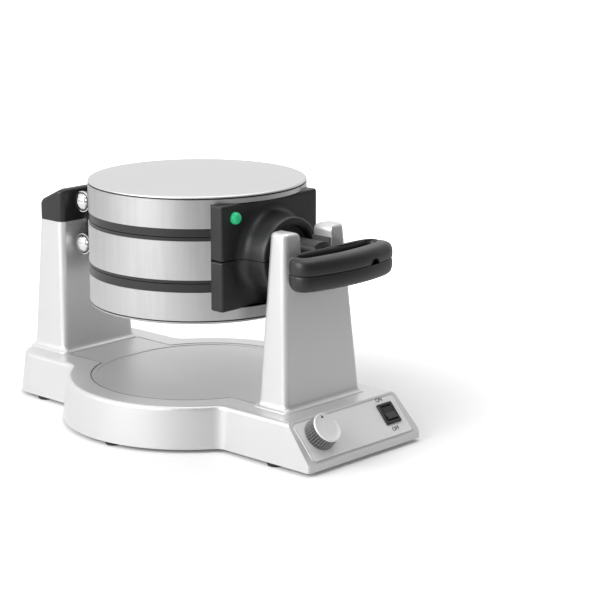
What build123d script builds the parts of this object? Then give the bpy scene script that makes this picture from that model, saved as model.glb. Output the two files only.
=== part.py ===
from build123d import *
import os
from math import radians, sqrt, tan

# Flip waffle maker, in millimetres. X runs along the flip axis from the rear tower to the control
# panel, Y across the machine, Z up from the table. The round casing is centred on X 0, Y 0 while
# the pieces are made, and every piece is shifted along X at the end so that the machine is centred.

# Running and seating clearances
RUN = 0.05           # shaft in a bearing, pin in a knuckle, on the radius
SEAT = 0.1           # a piece seated in a pocket of the same body
FREE = 0.3           # between pieces that move past each other

# Base shell
UNDERSIDE = 3.5      # height of the base's lower edge over the table
DECK_Z = 42.5        # height of the base's top
BASE_REAR = -196.0
BASE_FRONT = 213.5
BLOCK_HALF = 75.6    # half width of the front and rear blocks at the lower edge
ROUND_R = 122.7      # radius of the round sides
ROUND_OFF = 10.4     # their centres lie this far either side of the flip axis
DRAFT = 6.4          # degrees that every base wall leans in
BASE_WALL = 2.5
DECK_T = 4.5
REAR_CORNER_R = 34.0
FRONT_CORNER_R = 4.0
WAIST_R = 12.0       # hollow corner between a block and the round sides
TOP_EDGE_R = 4.0

# Control panel
PANEL_TOP_X = 183.0  # where the slope leaves the deck
LIP_Z = 9.0          # where the slope meets the upright lip
PANEL_T = 1.6
PANEL_HALF = 67.0
PANEL_MARGIN = 3.5
PANEL_POCKET = 0.8
PANEL_CORNER_R = 4.0

# Dial and rocker
DIAL_Y = -45.0
DIAL_S = 19.4        # down the slope from its top edge
DIAL_R = 14.3
DIAL_H = 14.5
DIAL_SKIRT_R = 15.6
DIAL_SKIRT_H = 3.0
DIAL_SHAFT_R = 3.0
DIAL_RIBS = 36
DIAL_TURN_GAP = 0.4
ROCKER_Y = 48.7
ROCKER_S = 19.7
ROCKER_W = 17.5      # switch body behind the panel
ROCKER_L = 19.0
ROCKER_RIM = 1.8     # height of its frame over the panel
ROCKER_OVER = 1.1    # frame wider than the body, each side
ROCKER_FRAME = 2.0   # width of the frame's wall
ROCKER_DEPTH = 16.0
ROCKER_TILT = 12.0   # degrees between ON and OFF
ROCKER_PIVOT = -1.0  # the paddle's pivot, out from the bare slope
ROCKER_UNDER = 3.0   # paddle below its pivot
ROCKER_WELL = 5.5    # depth of the well below the bare slope

# Drip tray set in the deck
TRAY_R = 95.5
TRAY_STRIP_HALF = 46.0
TRAY_T = 1.6
TRAY_DEPTH = 1.8
TRAY_GAP = 0.4
TRAY_CORNER_R = 4.0

# Feet, in pairs either side
FOOT_R = 8.0
FOOT_XS = (-147.0, 14.0, 166.0)
FOOT_YS = (64.0, 118.0, 64.0)

# Towers
AXIS_Z = 171.3       # height of the flip axis
TOWER_WALL = 3.0
TOWER_EDGE_R = 6.5
FLARE = 3.5          # how far the foot of a tower spreads
FLARE_H = 5.0
FT_FOOT_X0 = 125.5
FT_FOOT_X1 = 161.7
FT_FOOT_HALF = 50.2
FT_TOP_X0 = 130.3
FT_TOP_X1 = 150.7
FT_TOP_HALF = 39.4
FT_TOP_Z = 201.0
FORK_INNER_R = 7.0   # rounding of a prong's inner top corner
RT_FOOT_X0 = -189.5
RT_FOOT_X1 = -142.0
RT_FOOT_HALF = 46.7
RT_TOP_X0 = -184.7
RT_TOP_X1 = -150.3
RT_TOP_HALF = 39.5
CAP_REAR_H = 15.0    # height of the cap's rear wall
CAP_H = 34.5
CAP_WALL = 2.5
CAP_RIB_HALF = 19.0

# Casing: a stack that is the same up and down from the flip axis
CASING_R = 102.5
SHEET = 1.2
MID_HALF = 17.9      # half height of the middle band
MID_RIM = 3.0        # rim of a middle plate under the joint
JOINT_GAP = 0.7
LID_RIM = 7.6        # rim of a lid plate
LID_BAND = 26.2      # height of a lid's side band
COVER_RISE = 3.2     # rounded shoulder of a lid's cover
COVER_DOME = 2.4     # and its slight dome
SHOULDER_R = 2.8
RIM_INSET = 0.8      # the plate rims lie this far inside the bands

# Waffle plates
PLATE_FRONT = 87.0   # the plates are cut off here by the front housing
CAVITY_R = 83.0
CAVITY_X = -2.0
CAVITY_UP = 11.0     # recess in a lid plate above the joint
PLATE_T = 2.4
KNOB_PITCH = 19.0
KNOB_W = 12.5
KNOB_H = 8.5
KNOB_TAPER = 8.0
HEATER_R = 56.0
HEATER_TUBE_R = 3.2
SHIELD_T = 0.8

# Front housing, boss and neck
HOUSE_X = 95.1
HOUSE_HALF = 62.5
HOUSE_WALL = 3.0
HOUSE_UP = 51.1
HOUSE_DOWN = 45.2
SPLIT = 0.3          # half the gap at the split between the halves
BOSS_R0 = 44.0
BOSS_R1 = 36.0
BOSS_X = 122.0
BOSS_RING_R = 28.5   # inner radius of the boss's front ring
BOSS_RECESS = 6.0    # the ring stands this far out from the web round the neck
NECK_R = 18.7
NECK_BORE = 10.0
LINER_T = 1.5
LINER_UP = 19.0
LENS_R = 6.8
LENS_PROUD = 1.2
LENS_Y = -45.5
LENS_UP = 38.5

# Handle
HANDLE_X0 = 161.0
HANDLE_X1 = 200.5
HANDLE_SIDE_X = 190.5
HANDLE_HALF = 61.0
HANDLE_Y = 3.0
HANDLE_H = 14.6
HANDLE_EDGE_R = 4.5
HANDLE_REAR_R = 20.0
HANDLE_FRONT_R = 12.0
SLOT_X0 = 168.0
SLOT_X1 = 178.5
SLOT_HALF = 43.0
NOTCH_Y0 = 21.0
NOTCH_Y1 = 36.0
NOTCH_H = 3.0
NOTCH_DEPTH = 6.0

# Rear hinge and shaft
PIN_X = -135.0
PIN_UP = 21.0        # the lid pins lie this far from the flip axis
PIN_R = 4.0
KNUCKLE_R = 9.3
BARREL_HALF = 13.5   # middle knuckle of the bracket
EAR_T = 10.0
EAR_ROOT_X0 = -109.0
EAR_ROOT_X1 = -98.0
EAR_ROOT_UP = 51.0   # top of the arm's root over the flip axis
EAR_BAR_UP = 9.0     # the ears' upper edge over the pin, low enough to clear the tower's cap
EAR_BAR_DOWN = 5.0
COLLAR_R = 10.2
COLLAR_T = 1.6
DOME_R = 8.2
DOME_H = 4.6
SHAFT_R = 10.0
SHAFT_BORE = 6.0
SHAFT_REAR = -181.0
SHAFT_FRONT = -124.0
BRACKET_REAR = -143.0
BUSH_T = 4.0
BUSH_X0 = -177.5
BUSH_X1 = -151.5
RING_T = 1.8
RING_OVER = 3.0

# Inside the base
COVER_T = 2.0
SCREW_R = 2.0
SCREW_TOP_Z = 20.0
SCREW_HEAD_R = 3.8
SCREW_HEAD_H = 2.0
SCREW_SPOTS = ((-166.0, 48.0), (-62.0, 98.0), (62.0, 98.0), (177.0, 14.0))
BOSS_PIN_R = 4.5
BOARD_T = 1.6
GLAND_R = 8.0
GLAND_BORE = 3.6
GLAND_Y = 25.0
GLAND_Z = 20.0

# Worked out from the sizes above
JOINT_UP = MID_HALF + MID_RIM                     # top of the middle plate's rim
CAVITY_DOWN = JOINT_UP - PLATE_T - HEATER_TUBE_R - SEAT   # so deep that it seats on the heater
LID_RIM_UP = JOINT_UP + JOINT_GAP                 # lower face of the lid plate's rim
BAND_UP = LID_RIM_UP + LID_RIM                    # lower edge of the lid band
SEAM_UP = BAND_UP + LID_BAND                      # seam under the lid's cover
RIM_R = CASING_R - RIM_INSET
FORK_R = NECK_R + FREE + LINER_T                  # half width of the fork
EAR_Y0 = BARREL_HALF + FREE
EAR_Y1 = EAR_Y0 + EAR_T
BUSH_R = SHAFT_R + RUN + BUSH_T
LEAN = tan(radians(DRAFT))
SLOPE_TOP = Vector(PANEL_TOP_X, 0, DECK_Z)
SLOPE_END = Vector(BASE_FRONT - (LIP_Z - UNDERSIDE) * LEAN, 0, LIP_Z)
SLOPE_DIR = (SLOPE_END - SLOPE_TOP).normalized()
SLOPE_LEN = (SLOPE_END - SLOPE_TOP).length
SLOPE_OUT = Vector(-SLOPE_DIR.Z, 0, SLOPE_DIR.X)  # normal of the sloped panel, facing out


def box(x0, x1, y0, y1, z0, z1):
    size = (x1 - x0, y1 - y0, z1 - z0)
    return Pos((x0 + x1) / 2, (y0 + y1) / 2, (z0 + z1) / 2) * Box(*size)


def rod_x(r, x0, x1, y, z):
    return Pos((x0 + x1) / 2, y, z) * Rot(0, 90, 0) * Cylinder(r, x1 - x0)


def rod_y(r, y0, y1, x, z):
    return Pos(x, (y0 + y1) / 2, z) * Rot(90, 0, 0) * Cylinder(r, y1 - y0)


def rod_z(r, z0, z1, x, y):
    return Pos(x, y, (z0 + z1) / 2) * Cylinder(r, z1 - z0)


def on_slope(s, y, out=0.0):
    """A plane on the sloped panel: s down the slope, y across, out from its face."""
    origin = SLOPE_TOP + SLOPE_DIR * s + SLOPE_OUT * out + Vector(0, y, 0)
    return Plane(origin=origin, x_dir=Vector(0, 1, 0), z_dir=SLOPE_OUT)


def half_up(solid, gap=SPLIT):
    """What lies above the split at the flip axis."""
    return solid & box(-300, 300, -200, 200, AXIS_Z + gap, AXIS_Z + 200)


def flipped(solid):
    """The same piece on the other side of the flip axis plane."""
    return mirror(solid, Plane.XY.offset(AXIS_Z))


def base_outline(inset):
    rear = BASE_REAR + inset
    front = BASE_FRONT - inset
    block = Pos((rear + front) / 2, 0) * Rectangle(front - rear, 2 * (BLOCK_HALF - inset))
    outline = block
    for side in (-1, 1):
        outline += Pos(0, side * ROUND_OFF) * Circle(ROUND_R - inset)
    rear_corners = outline.vertices().filter_by(lambda v: abs(v.X - rear) < 1)
    outline = fillet(rear_corners, max(REAR_CORNER_R - inset, 1.0))
    front_corners = outline.vertices().filter_by(lambda v: abs(v.X - front) < 1)
    outline = fillet(front_corners, max(FRONT_CORNER_R - inset, 0.8))
    waist = outline.vertices().filter_by(
        lambda v: 20 < abs(v.X) < ROUND_R and abs(abs(v.Y) - (BLOCK_HALF - inset)) < 0.5)
    return fillet(waist, WAIST_R + inset)


def slope_cut(inset):
    """What lies outside the sloped panel plane, moved in by inset."""
    plane = on_slope(SLOPE_LEN / 2, 0, -inset)
    return plane * Pos(0, 0, 50) * Box(400, 400, 100)


def base_form(inset, top):
    form = Pos(0, 0, UNDERSIDE) * extrude(base_outline(inset), top - UNDERSIDE, taper=DRAFT)
    return form - slope_cut(inset)


def tray_outline(gap):
    shape = Rectangle(1, 1)
    for side in (-1, 1):
        shape += Pos(0, side * ROUND_OFF) * Circle(TRAY_R - gap)
    x0 = RT_FOOT_X1 + FLARE + 1.0 + gap
    x1 = FT_FOOT_X0 - FLARE - 1.0 - gap
    strip = Pos((x0 + x1) / 2, 0) * Rectangle(x1 - x0, 2 * (TRAY_STRIP_HALF - gap))
    shape += strip
    return fillet(shape.vertices().filter_by(lambda v: abs(v.Y) > 20), TRAY_CORNER_R)


def tower_section(x0, x1, half, z, r):
    return Pos((x0 + x1) / 2, 0, z) * RectangleRounded(x1 - x0, 2 * half, r)


def lerp(a, b, t):
    return a + (b - a) * t


def front_tower_section(z, inset=0.0, spread=0.0):
    t = (z - DECK_Z) / (FT_TOP_Z - DECK_Z)
    x0 = lerp(FT_FOOT_X0, FT_TOP_X0, t) + inset - spread
    x1 = lerp(FT_FOOT_X1, FT_TOP_X1, t) - inset + spread
    half = lerp(FT_FOOT_HALF, FT_TOP_HALF, t) - inset + spread
    return tower_section(x0, x1, half, z, max(TOWER_EDGE_R - inset, 0.8))


def rear_tower_section(z, inset=0.0, spread=0.0):
    t = (z - DECK_Z) / (AXIS_Z - DECK_Z)
    x0 = lerp(RT_FOOT_X0, RT_TOP_X0, t) + inset - spread
    x1 = lerp(RT_FOOT_X1, RT_TOP_X1, t) - inset + spread
    half = lerp(RT_FOOT_HALF, RT_TOP_HALF, t) - inset + spread
    return tower_section(x0, x1, half, z, max(TOWER_EDGE_R - inset, 0.8))


def control_panel():
    plane = on_slope(SLOPE_LEN / 2, 0, -PANEL_POCKET)
    length = SLOPE_LEN - 2 * PANEL_MARGIN
    plate = plane * extrude(RectangleRounded(2 * PANEL_HALF, length, PANEL_CORNER_R), PANEL_T)
    plate -= on_slope(DIAL_S, DIAL_Y) * Cylinder(DIAL_SHAFT_R + 1.0, 20)
    plate -= on_slope(ROCKER_S, ROCKER_Y) * Box(ROCKER_W + 2 * SEAT, ROCKER_L + 2 * SEAT, 20)
    return plate


def screw_spots():
    """Where the bottom cover is screwed to the base shell."""
    return [(x, side * y) for x, y in SCREW_SPOTS for side in (-1, 1)]


def tower_screw_spots():
    """Where screws come up through the deck into the towers."""
    front = (FT_FOOT_X0 + FT_FOOT_X1) / 2
    rear = (RT_FOOT_X0 + RT_FOOT_X1) / 2
    return [(x, side * 30.0) for x in (front, rear) for side in (-1, 1)]


def foot_spots():
    return [(x, side * y) for x, y in zip(FOOT_XS, FOOT_YS) for side in (-1, 1)]


def base_shell():
    shell = base_form(0, DECK_Z)
    rim = shell.edges().filter_by(lambda e: e.bounding_box().min.Z > DECK_Z - 0.01)
    rim = rim.filter_by(lambda e: abs(e.center().X - PANEL_TOP_X) > 1)
    shell = fillet(rim, TOP_EDGE_R)
    shell -= base_form(BASE_WALL, DECK_Z - DECK_T)
    shell -= Pos(0, 0, DECK_Z - TRAY_DEPTH) * extrude(tray_outline(0), 10)
    pocket = on_slope(SLOPE_LEN / 2, 0, -PANEL_POCKET)
    length = SLOPE_LEN - 2 * PANEL_MARGIN + 2 * SEAT
    corner = PANEL_CORNER_R + SEAT
    shell -= pocket * extrude(RectangleRounded(2 * (PANEL_HALF + SEAT), length, corner), 10)
    shell -= on_slope(DIAL_S, DIAL_Y) * Cylinder(DIAL_SHAFT_R + 1.0, 20)
    shell -= on_slope(ROCKER_S, ROCKER_Y) * Box(ROCKER_W + 2 * SEAT, ROCKER_L + 2 * SEAT, 20)
    shell -= rod_x(GLAND_R - 2.0, BASE_REAR - 1, BASE_REAR + 20, GLAND_Y, GLAND_Z)
    for x, y in screw_spots():
        shell += rod_z(BOSS_PIN_R, UNDERSIDE + COVER_T, DECK_Z - DECK_T + 0.2, x, y)
        shell -= rod_z(SCREW_R, UNDERSIDE, SCREW_TOP_Z + 1, x, y)
    for x, y in tower_screw_spots():
        shell -= rod_z(SCREW_R + SEAT, DECK_Z - DECK_T - 1, DECK_Z + 1, x, y)
    return shell


def bottom_cover():
    inset = BASE_WALL + SEAT
    plate = Pos(0, 0, UNDERSIDE) * extrude(base_outline(inset + COVER_T * LEAN), COVER_T)
    for x, y in screw_spots():
        plate -= rod_z(SCREW_R + SEAT, 0, 10, x, y)
    for x, y in foot_spots():
        plate -= rod_z(2.5, 0, 10, x, y)
    return plate


def feet():
    group = []
    for x, y in foot_spots():
        foot = rod_z(FOOT_R, 0, UNDERSIDE, x, y)
        foot = chamfer(foot.edges().filter_by(lambda e: e.center().Z < 0.1), 1.0)
        foot += rod_z(2.5 - SEAT, UNDERSIDE - 0.1, UNDERSIDE + COVER_T, x, y)
        foot += rod_z(3.6, UNDERSIDE + COVER_T, UNDERSIDE + COVER_T + 1.2, x, y)
        group.append(foot)
    return Compound(group)


def cover_screws():
    group = []
    for x, y in screw_spots():
        screw = rod_z(SCREW_HEAD_R, UNDERSIDE - SCREW_HEAD_H, UNDERSIDE, x, y)
        screw += rod_z(SCREW_R - RUN, UNDERSIDE - 0.1, SCREW_TOP_Z, x, y)
        screw -= rod_z(1.2, 0, UNDERSIDE - SCREW_HEAD_H + 1.0, x, y)
        group.append(screw)
    return Compound(group)


def tower_screws():
    group = []
    under = DECK_Z - DECK_T
    for x, y in tower_screw_spots():
        screw = rod_z(SCREW_HEAD_R, under - SCREW_HEAD_H, under, x, y)
        screw += rod_z(SCREW_R, under - 0.1, DECK_Z + 14.0, x, y)
        group.append(screw)
    return Compound(group)


def drip_tray():
    floor_z = DECK_Z - TRAY_DEPTH
    tray = Pos(0, 0, floor_z) * extrude(tray_outline(TRAY_GAP), TRAY_T)
    dish = Sketch()
    for side in (-1, 1):
        dish += Pos(0, side * ROUND_OFF) * Circle(TRAY_R - 5.0)
    return tray - Pos(0, 0, floor_z + TRAY_T - 0.5) * extrude(dish, 5)


def tower_foot(section):
    return loft([section(DECK_Z, spread=FLARE), section(DECK_Z + FLARE_H, spread=0.4)], ruled=True)


def front_tower():
    tower = loft([front_tower_section(DECK_Z), front_tower_section(FT_TOP_Z)], ruled=True)
    tower = fillet(tower.edges().filter_by(lambda e: e.center().Z > FT_TOP_Z - 0.1), 2.5)
    slot = rod_x(FORK_R, 100, 200, 0, AXIS_Z)
    slot += box(100, 200, -FORK_R, FORK_R, AXIS_Z, FT_TOP_Z + 10)
    tower -= slot
    inner = tower.edges().filter_by(
        lambda e: e.center().Z > FT_TOP_Z - 0.1 and abs(abs(e.center().Y) - FORK_R) < 0.1)
    tower = fillet(inner, FORK_INNER_R)
    tower += tower_foot(front_tower_section)
    hollow_top = AXIS_Z - FORK_R - 6.0
    hollow = [front_tower_section(DECK_Z - 0.1, TOWER_WALL), front_tower_section(hollow_top, TOWER_WALL)]
    tower -= loft(hollow, ruled=True)
    for x, y in tower_screw_spots()[:2]:
        tower += rod_z(BOSS_PIN_R, DECK_Z, DECK_Z + 16, x, y)
        tower += box(x - 16, x + 16, y - 1.5, y + 1.5, DECK_Z, DECK_Z + 16)
        tower -= rod_z(SCREW_R + RUN, DECK_Z - 1, DECK_Z + 15, x, y)
    return tower


def fork_liner():
    x0 = FT_TOP_X0 - 1.0
    x1 = FT_TOP_X1 - 0.5
    liner = rod_x(FORK_R - SEAT, x0, x1, 0, AXIS_Z)
    liner += box(x0, x1, -FORK_R + SEAT, FORK_R - SEAT, AXIS_Z, AXIS_Z + LINER_UP)
    liner -= rod_x(NECK_R + FREE, x0 - 1, x1 + 1, 0, AXIS_Z)
    return liner - box(x0 - 1, x1 + 1, -NECK_R - FREE, NECK_R + FREE, AXIS_Z, AXIS_Z + 2 * FORK_R)


def bearing_seat():
    """The bore of the rear bearing, with room for the retaining ring behind it."""
    seat = rod_x(BUSH_R + SEAT, BUSH_X0 - SEAT, RT_TOP_X1 + 10, 0, AXIS_Z)
    room = SHAFT_R + RING_OVER + 1.0
    return seat + rod_x(room, SHAFT_REAR - 1.0, BUSH_X0, 0, AXIS_Z)


def rear_tower():
    tower = loft([rear_tower_section(DECK_Z), rear_tower_section(AXIS_Z)], ruled=True)
    tower += tower_foot(rear_tower_section)
    hollow = [rear_tower_section(DECK_Z - 0.1, TOWER_WALL), rear_tower_section(AXIS_Z - 26, TOWER_WALL)]
    tower -= loft(hollow, ruled=True)
    tower -= bearing_seat()
    for x, y in tower_screw_spots()[2:]:
        tower += rod_z(BOSS_PIN_R, DECK_Z, DECK_Z + 16, x, y)
        tower += box(x - 20, x + 20, y - 1.5, y + 1.5, DECK_Z, DECK_Z + 16)
        tower -= rod_z(SCREW_R + RUN, DECK_Z - 1, DECK_Z + 15, x, y)
    return tower


def cap_side(inset):
    x0 = RT_TOP_X0 + inset
    x1 = RT_TOP_X1 - inset
    z0 = AXIS_Z + SEAT
    rear = AXIS_Z + CAP_REAR_H - inset * 0.6
    top = AXIS_Z + CAP_H - inset
    start = Vector(x0, 0, rear)
    end = Vector(x1, 0, top)
    middle = Vector(lerp(x0, x1, 0.4), 0, lerp(rear, top, 0.4) + 4.2)
    curve = ThreePointArc(start, middle, end)
    lines = Polyline(end, (x1, 0, z0), (x0, 0, z0), start)
    return make_face([curve, lines])


def rear_cap():
    cap = extrude(cap_side(0), RT_TOP_HALF, both=True)
    cap = fillet(cap.edges().filter_by(lambda e: e.center().Z > AXIS_Z + 1), 2.5)
    pocket = extrude(cap_side(CAP_WALL), RT_TOP_HALF - CAP_WALL, both=True)
    pocket -= box(-300, 0, -CAP_RIB_HALF, CAP_RIB_HALF, 0, 400)
    pocket += Pos(0, 0, -CAP_WALL) * (pocket & box(-300, 0, -100, 100, 0, AXIS_Z + 10))
    cap -= pocket
    return cap - bearing_seat()


def rear_bearing():
    bush = rod_x(BUSH_R, BUSH_X0, BUSH_X1, 0, AXIS_Z)
    return bush - rod_x(SHAFT_R + RUN, BUSH_X0 - 1, BUSH_X1 + 1, 0, AXIS_Z)


def rotor_shaft():
    shaft = rod_x(SHAFT_R, SHAFT_REAR, SHAFT_FRONT, 0, AXIS_Z)
    shaft -= rod_x(SHAFT_BORE, SHAFT_REAR - 1, SHAFT_FRONT + 1, 0, AXIS_Z)
    groove_x = BUSH_X0 - FREE - RING_T
    groove = rod_x(SHAFT_R + 1, groove_x, groove_x + RING_T, 0, AXIS_Z)
    groove -= rod_x(SHAFT_R - 1.0, groove_x, groove_x + RING_T, 0, AXIS_Z)
    return shaft - groove


def shaft_ring():
    x0 = BUSH_X0 - FREE - RING_T + 0.05
    ring = rod_x(SHAFT_R + RING_OVER, x0, x0 + RING_T - 0.1, 0, AXIS_Z)
    ring -= rod_x(SHAFT_R - 1.0 + RUN, x0 - 1, x0 + RING_T + 1, 0, AXIS_Z)
    return ring - box(x0 - 1, x0 + RING_T + 1, -SHAFT_R, SHAFT_R, AXIS_Z - 30, AXIS_Z - 4)


def casing_outline(r):
    return Circle(r) - Pos(PLATE_FRONT + 100, 0) * Rectangle(200, 400)


def band(z0, z1, house_top):
    """A sheet steel side band, cut away at the front up to house_top, where the housing closes it."""
    ring = Pos(0, 0, z0) * extrude(Circle(CASING_R) - Circle(CASING_R - SHEET), z1 - z0)
    half = HOUSE_HALF + SEAT
    return ring - box(0, 2 * CASING_R, -half, half, z0 - 1, house_top + SEAT)


def knob_spots():
    """Grid of the waffle plate's raised squares that lie inside the cavity."""
    reach = int(CAVITY_R / KNOB_PITCH) + 1
    half = KNOB_W / 2
    spots = []
    for i in range(-reach, reach + 1):
        for j in range(-reach, reach + 1):
            x = (i + 0.5) * KNOB_PITCH
            y = (j + 0.5) * KNOB_PITCH
            if sqrt((abs(x) + half) ** 2 + (abs(y) + half) ** 2) < CAVITY_R - 2:
                spots.append((x + CAVITY_X, y))
    return spots


def plate_pan(rim_z, rim_t, depth):
    """A waffle plate facing down: rim from rim_z up by rim_t, cavity roof depth above rim_z."""
    pan = Pos(0, 0, rim_z) * extrude(casing_outline(RIM_R), rim_t)
    pan += Pos(CAVITY_X, 0, rim_z) * extrude(Circle(CAVITY_R + PLATE_T), depth + PLATE_T)
    pan -= Pos(0, 0, rim_z + rim_t) * extrude(Pos(PLATE_FRONT + 50, 0) * Rectangle(100, 300), 60)
    pan -= Pos(CAVITY_X, 0, rim_z - 1) * extrude(Circle(CAVITY_R), depth + 1)
    shape = Rectangle(KNOB_W, KNOB_W)
    knob = extrude(shape, KNOB_H + 0.5, taper=KNOB_TAPER)
    knob = Rot(180, 0, 0) * knob
    knobs = [Pos(x, y, rim_z + depth + 0.5) * knob for x, y in knob_spots()]
    return pan + knobs


def lid_plate():
    return plate_pan(AXIS_Z + LID_RIM_UP, LID_RIM, CAVITY_UP)


def middle_lower_plate():
    """The plate under the flip axis, facing down, seated in the middle band."""
    rim_z = AXIS_Z - JOINT_UP
    return plate_pan(rim_z, MID_RIM, CAVITY_DOWN)


def heater(z):
    """A rod heater bent to an open ring, its ends turned in."""
    start = Vector(HEATER_R, 0, 0).rotate(Axis.Z, 12)
    end = Vector(HEATER_R, 0, 0).rotate(Axis.Z, -12)
    path = ThreePointArc(start, (-HEATER_R, 0, 0), end)
    rod = sweep(Plane(origin=path @ 0, z_dir=path % 0) * Circle(HEATER_TUBE_R), path)
    return Pos(CAVITY_X, 0, z) * rod


def lid_cover():
    """Spun top cover: rounded shoulder and slight dome."""
    z0 = AXIS_Z + SEAM_UP
    side = z0 + COVER_RISE
    ball_r = (CASING_R ** 2 + COVER_DOME ** 2) / (2 * COVER_DOME)
    ball = Pos(0, 0, side + COVER_DOME - ball_r) * Sphere(ball_r)
    cover = rod_z(CASING_R, z0, side + COVER_DOME, 0, 0) & ball
    cover = fillet(cover.edges().filter_by(lambda e: e.center().Z > z0 + 1), SHOULDER_R)
    under = Pos(0, 0, -SHEET) * ball & rod_z(CASING_R - SHOULDER_R, z0 - 1, side + COVER_DOME, 0, 0)
    return cover - under


def lid_shield():
    """Heat shield that lies on the housing's cheeks, just under the lid's cover."""
    z = AXIS_Z + HOUSE_UP + SEAT
    disc = casing_outline(CASING_R - SHEET - SEAT)
    return Pos(0, 0, z) * extrude(disc, SHIELD_T)


def housing(height):
    """Upper half of the black front housing, its boss and the half bore that holds the neck."""
    z0 = AXIS_Z + SPLIT
    z1 = AXIS_Z + height
    block = box(PLATE_FRONT + SEAT, HOUSE_X, -HOUSE_HALF, HOUSE_HALF, z0, z1)
    cheek_x = sqrt(CASING_R ** 2 - HOUSE_HALF ** 2) - 6
    cheeks = box(cheek_x, HOUSE_X, -HOUSE_HALF, HOUSE_HALF, z0, z1)
    cheeks -= box(cheek_x - 1, HOUSE_X - HOUSE_WALL, -HOUSE_HALF + HOUSE_WALL,
                  HOUSE_HALF - HOUSE_WALL, z0 - 1, z1 + 1)
    shell = block + cheeks
    shell = fillet(shell.edges().filter_by(Axis.Z).filter_by(lambda e: e.center().X > HOUSE_X - 0.1), 1.5)
    inside = box(PLATE_FRONT - 1, HOUSE_X - HOUSE_WALL, -HOUSE_HALF + HOUSE_WALL,
                 HOUSE_HALF - HOUSE_WALL, z0 - 1, z1 - HOUSE_WALL)
    inside -= box(PLATE_FRONT - 1, HOUSE_X, -NECK_R - 5, NECK_R + 5, z0 - 1, z0 + NECK_R + 5)
    shell -= inside
    shell -= rod_z(RIM_R + FREE, AXIS_Z - 1, AXIS_Z + BAND_UP, 0, 0) & box(
        -200, PLATE_FRONT + SEAT, -200, 200, AXIS_Z - 10, AXIS_Z + BAND_UP + SEAT)
    cone = Pos(HOUSE_X, 0, AXIS_Z) * Rot(0, 90, 0) * Pos(0, 0, (BOSS_X - HOUSE_X) / 2) * Cone(
        BOSS_R0, BOSS_R1, BOSS_X - HOUSE_X)
    shell += half_up(cone)
    shell -= rod_x(BOSS_RING_R, BOSS_X - BOSS_RECESS, BOSS_X + 1, 0, AXIS_Z)
    return shell - rod_x(NECK_R + SEAT, PLATE_FRONT - 1, BOSS_X + 1, 0, AXIS_Z)


def lens_seat(r, x0, x1, up):
    return rod_x(r, x0, x1, LENS_Y, AXIS_Z + up)


def upper_housing():
    shell = housing(HOUSE_UP)
    return shell - lens_seat(LENS_R + SEAT, PLATE_FRONT, HOUSE_X + 1, LENS_UP)


def lower_housing():
    return flipped(housing(HOUSE_DOWN))


def ready_lens():
    lens = lens_seat(LENS_R, HOUSE_X - HOUSE_WALL, HOUSE_X + LENS_PROUD, LENS_UP)
    return fillet(lens.edges().filter_by(lambda e: e.center().X > HOUSE_X), 0.9)


def handle_outline():
    front = ThreePointArc((HANDLE_SIDE_X, HANDLE_Y + HANDLE_HALF), (HANDLE_X1, HANDLE_Y),
                          (HANDLE_SIDE_X, HANDLE_Y - HANDLE_HALF))
    back = Polyline((HANDLE_SIDE_X, HANDLE_Y - HANDLE_HALF), (HANDLE_X0, HANDLE_Y - HANDLE_HALF),
                    (HANDLE_X0, HANDLE_Y + HANDLE_HALF), (HANDLE_SIDE_X, HANDLE_Y + HANDLE_HALF))
    face = make_face([front, back])
    face = fillet(face.vertices().filter_by(lambda v: v.X < HANDLE_X0 + 1), HANDLE_REAR_R)
    return fillet(face.vertices().filter_by(
        lambda v: abs(v.X - HANDLE_SIDE_X) < 0.5 and abs(v.Y - HANDLE_Y) > HANDLE_HALF - 1), HANDLE_FRONT_R)


def handle_half():
    """Upper half of the handle loop with its half neck, moulded in one."""
    z0 = AXIS_Z + SPLIT
    loop = Pos(0, 0, z0) * extrude(handle_outline(), HANDLE_H - SPLIT)
    loop = fillet(loop.edges().filter_by(lambda e: e.center().Z > AXIS_Z + HANDLE_H - 0.1), HANDLE_EDGE_R)
    slot_mid = (SLOT_X0 + SLOT_X1) / 2
    slot = Pos(slot_mid, HANDLE_Y, z0 - 1) * extrude(
        RectangleRounded(SLOT_X1 - SLOT_X0, 2 * SLOT_HALF, (SLOT_X1 - SLOT_X0) / 2 - 0.5), 40)
    loop -= slot
    neck = half_up(rod_x(NECK_R, PLATE_FRONT + 1, SLOT_X0 - 3, 0, AXIS_Z))
    neck -= rod_x(NECK_BORE, PLATE_FRONT, SLOT_X0 - 8, 0, AXIS_Z)
    half = loop + neck
    return half - box(HANDLE_X1 - NOTCH_DEPTH - 4, HANDLE_X1 + 5, NOTCH_Y0, NOTCH_Y1,
                      AXIS_Z - 1, AXIS_Z + NOTCH_H)


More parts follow.
